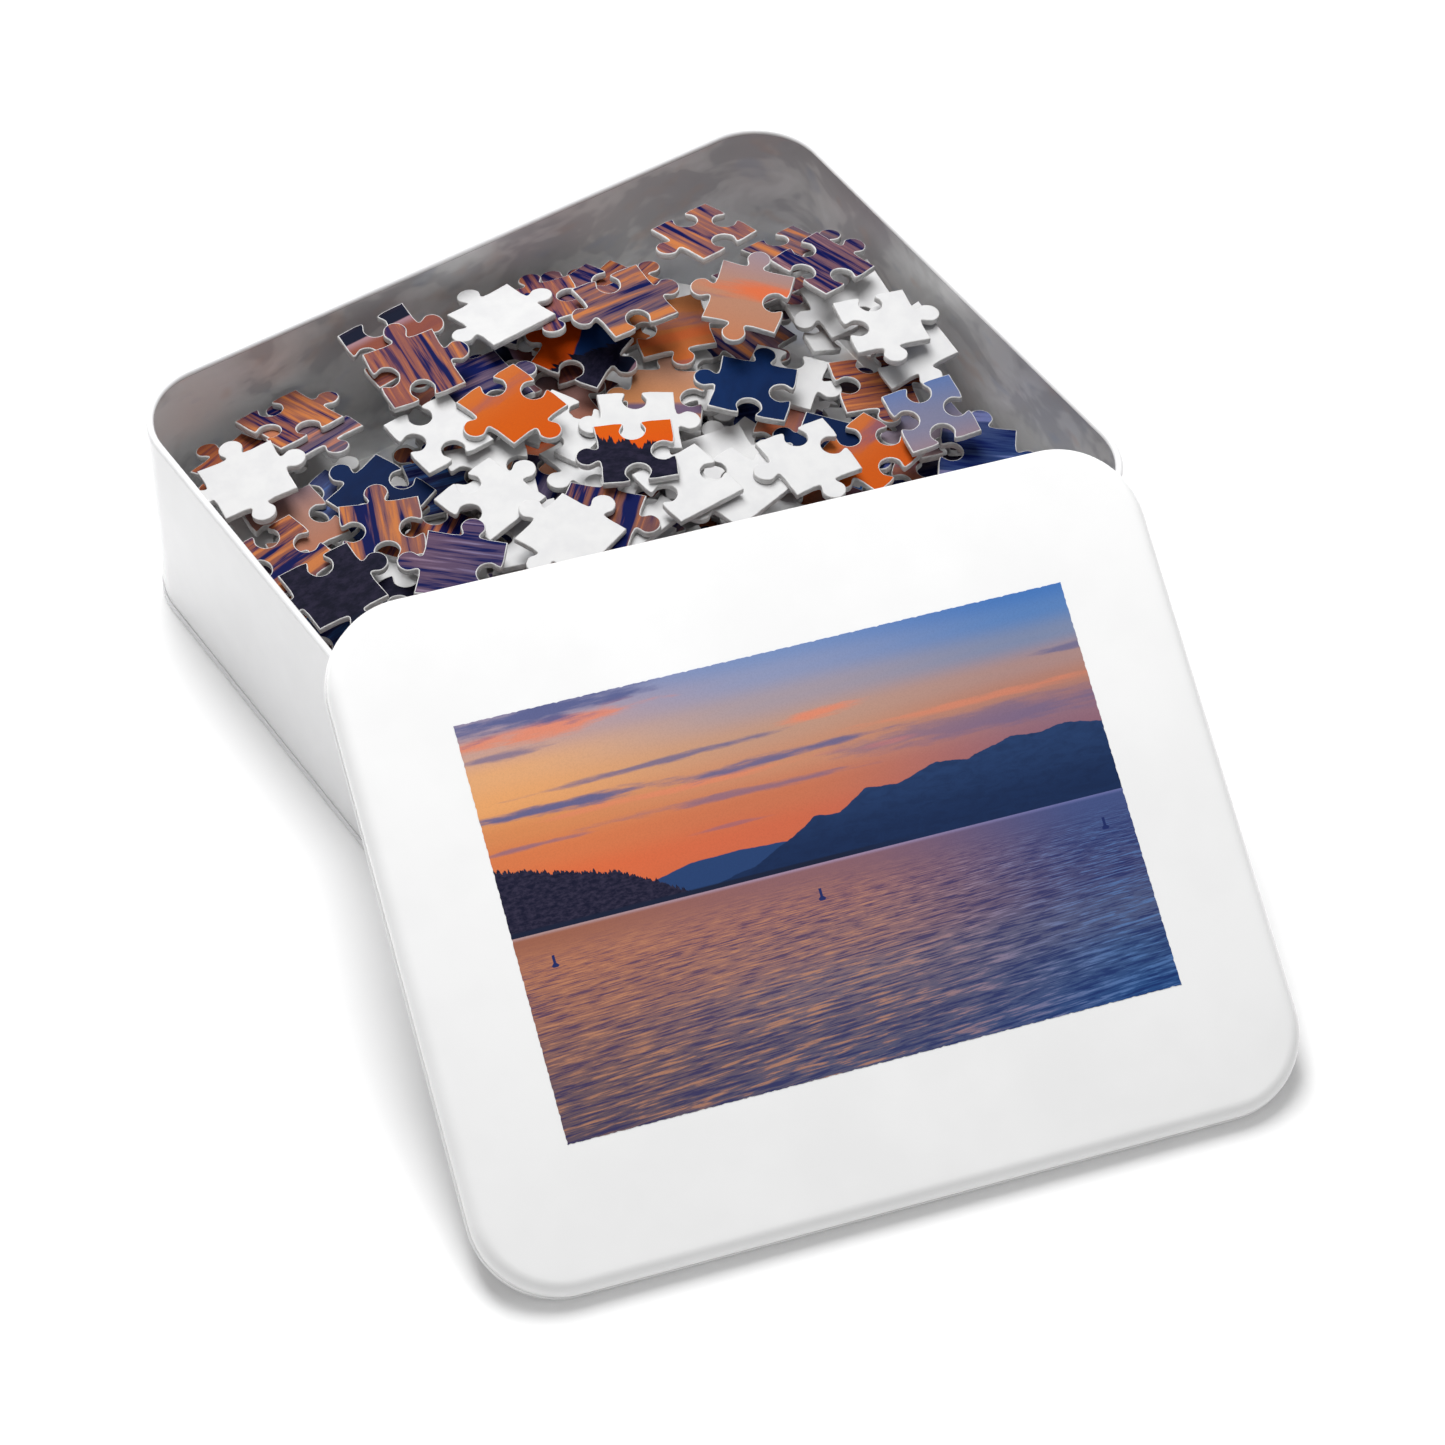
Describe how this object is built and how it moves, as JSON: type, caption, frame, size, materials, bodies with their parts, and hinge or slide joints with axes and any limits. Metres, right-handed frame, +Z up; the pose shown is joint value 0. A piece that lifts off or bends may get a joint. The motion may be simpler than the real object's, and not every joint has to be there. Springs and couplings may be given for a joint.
{
  "type": "boxed jigsaw puzzle",
  "caption": "Open rectangular slip-lid tin heaped with loose cardboard jigsaw pieces, with its lid, printed with a lake at sunset, leaning on the rim.",
  "frame": {"origin": "centre of the tin's underside, in the plane of the base seam that it stands on", "axes": "+X along the tin's longer side, +Y away from the lid, +Z up out of the tin's mouth"},
  "size_m": [0.2435, 0.2992, 0.0844],
  "materials": {
    "tin_enamel": "white enamel outside, bare tinplate inside",
    "tin_base_enamel": "white enamel seam round a bare tinplate base",
    "lid_enamel": "glossy white enamel",
    "lid_print": "glossy litho print of a lake at sunset",
    "card_picture": "printed and varnished face, white die-cut edge",
    "card_back": "plain white face, matt"
  },
  "bodies": {
    "tin": {"tin_wall": "tin_enamel", "tin_base": "tin_base_enamel", "layer_1_face_down": "card_back", "layer_1_face_up": "card_picture", "layer_2_face_down": "card_back", "layer_2_face_up": "card_picture", "layer_3_face_down": "card_back", "layer_3_face_up": "card_picture", "piece_05_04_face_up": "card_picture", "piece_03_05_face_up": "card_picture", "piece_05_06_face_up": "card_picture", "piece_15_02_face_up": "card_picture", "piece_10_10_face_up": "card_picture", "piece_06_10_face_up": "card_picture", "piece_12_11_face_up": "card_picture", "piece_07_04_face_up": "card_picture", "piece_05_11_face_up": "card_picture", "piece_10_12_face_up": "card_picture", "piece_09_03_face_up": "card_picture", "piece_17_07_face_up": "card_picture", "piece_03_07_face_up": "card_picture", "piece_15_07_face_up": "card_picture", "piece_12_03_face_up": "card_picture", "piece_05_10_face_up": "card_picture", "piece_09_05_face_up": "card_picture", "piece_06_04_face_up": "card_picture", "piece_01_03_face_up": "card_picture", "piece_02_04_face_up": "card_picture", "piece_01_05_face_up": "card_picture", "piece_02_05_face_up": "card_picture", "piece_14_01_face_up": "card_picture", "piece_05_09_face_up": "card_picture", "piece_04_07_face_up": "card_picture", "piece_16_08_face_up": "card_picture", "piece_03_04_face_up": "card_picture", "piece_10_04_face_up": "card_picture", "piece_08_05_face_up": "card_picture", "piece_10_03_face_up": "card_picture", "piece_10_05_face_up": "card_picture", "piece_08_03_face_up": "card_picture", "piece_03_06_face_up": "card_picture"},
    "lid": {"lid_shell": "lid_enamel", "lid_picture": "lid_print"},
    "loose_11_04": {"piece_11_04_face_up": "card_picture"},
    "loose_16_13": {"piece_16_13_face_down": "card_back"},
    "loose_04_04": {"piece_04_04_face_up": "card_picture"},
    "loose_04_09": {"piece_04_09_face_up": "card_picture"},
    "loose_13_12": {"piece_13_12_face_up": "card_picture"},
    "loose_06_05": {"piece_06_05_face_up": "card_picture"},
    "loose_07_03": {"piece_07_03_face_up": "card_picture"},
    "loose_09_11": {"piece_09_11_face_up": "card_picture"},
    "loose_01_12": {"piece_01_12_face_down": "card_back"},
    "loose_02_07": {"piece_02_07_face_up": "card_picture"},
    "loose_13_04": {"piece_13_04_face_up": "card_picture"},
    "loose_11_13": {"piece_11_13_face_down": "card_back"},
    "loose_01_08": {"piece_01_08_face_up": "card_picture"},
    "loose_08_04": {"piece_08_04_face_up": "card_picture"},
    "loose_12_12": {"piece_12_12_face_down": "card_back"},
    "loose_14_12": {"piece_14_12_face_down": "card_back"}
  },
  "joints": [
    {"name": "lid_lift", "type": "slide", "parent": "tin", "child": "lid", "axis": [0, 0, 1], "range_m": [0, 0.08]},
    {"name": "lift_11_04", "type": "slide", "parent": "tin", "child": "loose_11_04", "axis": [0, 0, 1], "range_m": [0, 0.06]},
    {"name": "lift_16_13", "type": "slide", "parent": "tin", "child": "loose_16_13", "axis": [0, 0, 1], "range_m": [0, 0.06]},
    {"name": "lift_04_04", "type": "slide", "parent": "tin", "child": "loose_04_04", "axis": [0, 0, 1], "range_m": [0, 0.06]},
    {"name": "lift_04_09", "type": "slide", "parent": "tin", "child": "loose_04_09", "axis": [0, 0, 1], "range_m": [0, 0.06]},
    {"name": "lift_13_12", "type": "slide", "parent": "tin", "child": "loose_13_12", "axis": [0, 0, 1], "range_m": [0, 0.06]},
    {"name": "lift_06_05", "type": "slide", "parent": "tin", "child": "loose_06_05", "axis": [0, 0, 1], "range_m": [0, 0.06]},
    {"name": "lift_07_03", "type": "slide", "parent": "tin", "child": "loose_07_03", "axis": [0, 0, 1], "range_m": [0, 0.06]},
    {"name": "lift_09_11", "type": "slide", "parent": "tin", "child": "loose_09_11", "axis": [0, 0, 1], "range_m": [0, 0.06]},
    {"name": "lift_01_12", "type": "slide", "parent": "tin", "child": "loose_01_12", "axis": [0, 0, 1], "range_m": [0, 0.06]},
    {"name": "lift_02_07", "type": "slide", "parent": "tin", "child": "loose_02_07", "axis": [0, 0, 1], "range_m": [0, 0.06]},
    {"name": "lift_13_04", "type": "slide", "parent": "tin", "child": "loose_13_04", "axis": [0, 0, 1], "range_m": [0, 0.06]},
    {"name": "lift_11_13", "type": "slide", "parent": "tin", "child": "loose_11_13", "axis": [0, 0, 1], "range_m": [0, 0.06]},
    {"name": "lift_01_08", "type": "slide", "parent": "tin", "child": "loose_01_08", "axis": [0, 0, 1], "range_m": [0, 0.06]},
    {"name": "lift_08_04", "type": "slide", "parent": "tin", "child": "loose_08_04", "axis": [0, 0, 1], "range_m": [0, 0.06]},
    {"name": "lift_12_12", "type": "slide", "parent": "tin", "child": "loose_12_12", "axis": [0, 0, 1], "range_m": [0, 0.06]},
    {"name": "lift_14_12", "type": "slide", "parent": "tin", "child": "loose_14_12", "axis": [0, 0, 1], "range_m": [0, 0.06]}
  ]
}
